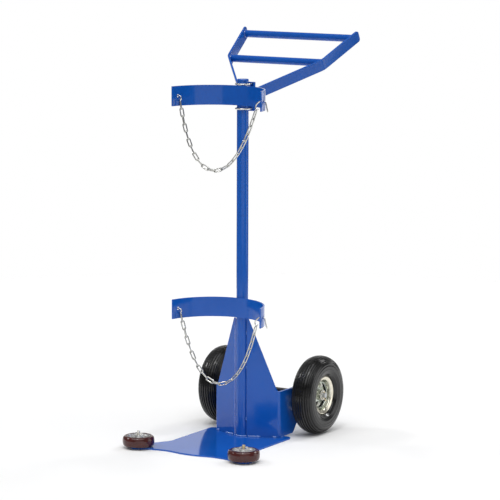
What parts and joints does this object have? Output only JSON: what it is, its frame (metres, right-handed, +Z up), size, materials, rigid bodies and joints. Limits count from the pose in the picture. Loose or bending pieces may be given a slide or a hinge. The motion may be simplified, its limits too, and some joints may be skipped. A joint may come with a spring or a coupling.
{
  "type": "cylinder hand truck",
  "caption": "Upright gas cylinder hand truck: flat base with corner rollers, tube mast with chained cradle bands, tilted handle and a pair of pneumatic wheels.",
  "frame": {"origin": "on the floor at the mast's axis, on the underside of the base plate", "axes": "+Z up; -Y is the front, where the cylinder stands; +X to the right when facing along +Y, from the front towards the wheels"},
  "size_m": [0.493, 0.744, 1.3016],
  "materials": {
    "blue_coat": "glossy powder coat",
    "black_steel": "black, satin",
    "tyre_rubber": "ribbed black rubber",
    "rim_zinc": "satin zinc plate",
    "zinc": "bright zinc plate",
    "roller_tread": "smooth maroon polyurethane",
    "roller_hub": "die cast, satin",
    "valve_rubber": "matte"
  },
  "bodies": {
    "frame": {"axle": "black_steel", "axle_spacer_left": "zinc", "axle_spacer_right": "zinc", "axle_split_pin_left": "zinc", "axle_split_pin_right": "zinc", "axle_washer_left": "zinc", "axle_washer_right": "zinc", "base_plate": "blue_coat", "grip_crossbar": "blue_coat", "handle_bar_left": "blue_coat", "handle_bar_right": "blue_coat", "handle_bracket": "blue_coat", "lower_band": "blue_coat", "lower_crossbar": "blue_coat", "lower_u_bolt": "zinc", "lower_u_bolt_nut_left": "zinc", "lower_u_bolt_nut_right": "zinc", "mast_cap": "blue_coat", "mast_tube": "blue_coat", "roller_pin_left": "zinc", "roller_pin_right": "zinc", "roller_spacer_left": "zinc", "roller_spacer_right": "zinc", "roller_split_pin_left": "zinc", "roller_split_pin_right": "zinc", "roller_washer_left": "zinc", "roller_washer_right": "zinc", "side_plate_left": "blue_coat", "side_plate_right": "blue_coat", "upper_band": "blue_coat", "upper_u_bolt": "zinc", "upper_u_bolt_nut_left": "zinc", "upper_u_bolt_nut_right": "zinc"},
    "left_wheel": {"bearing_inner_left": "zinc", "bearing_outer_left": "zinc", "hub_left": "zinc", "rim_inner_left": "rim_zinc", "rim_outer_left": "rim_zinc", "tyre_left": "tyre_rubber", "valve_left": "valve_rubber"},
    "right_wheel": {"bearing_inner_right": "zinc", "bearing_outer_right": "zinc", "hub_right": "zinc", "rim_inner_right": "rim_zinc", "rim_outer_right": "rim_zinc", "tyre_right": "tyre_rubber", "valve_right": "valve_rubber"},
    "left_roller": {"roller_hub_left": "roller_hub", "roller_tread_left": "roller_tread"},
    "right_roller": {"roller_hub_right": "roller_hub", "roller_tread_right": "roller_tread"},
    "upper_chain": {"upper_chain": "zinc", "upper_hook_left": "zinc", "upper_hook_right": "zinc"},
    "lower_chain": {"lower_chain": "zinc", "lower_hook_left": "zinc", "lower_hook_right": "zinc"}
  },
  "joints": [
    {"name": "left_wheel_spin", "type": "hinge", "parent": "frame", "child": "left_wheel", "pos_m": [-0.1776, 0.183, 0.1275], "axis": [1, 0, 0], "continuous": true},
    {"name": "right_wheel_spin", "type": "hinge", "parent": "frame", "child": "right_wheel", "pos_m": [0.1776, 0.183, 0.1275], "axis": [1, 0, 0], "continuous": true},
    {"name": "left_roller_spin", "type": "hinge", "parent": "frame", "child": "left_roller", "pos_m": [-0.1957, -0.3129, 0.0245], "axis": [0, 0, 1], "continuous": true},
    {"name": "right_roller_spin", "type": "hinge", "parent": "frame", "child": "right_roller", "pos_m": [0.1957, -0.3129, 0.0245], "axis": [0, 0, 1], "continuous": true},
    {"name": "upper_chain_swing", "type": "hinge", "parent": "frame", "child": "upper_chain", "pos_m": [0, -0.13769, 1.1128], "axis": [1, 0, 0], "range_deg": [-100, 1]},
    {"name": "lower_chain_swing", "type": "hinge", "parent": "frame", "child": "lower_chain", "pos_m": [0, -0.13769, 0.4284], "axis": [1, 0, 0], "range_deg": [-100, 13]}
  ]
}
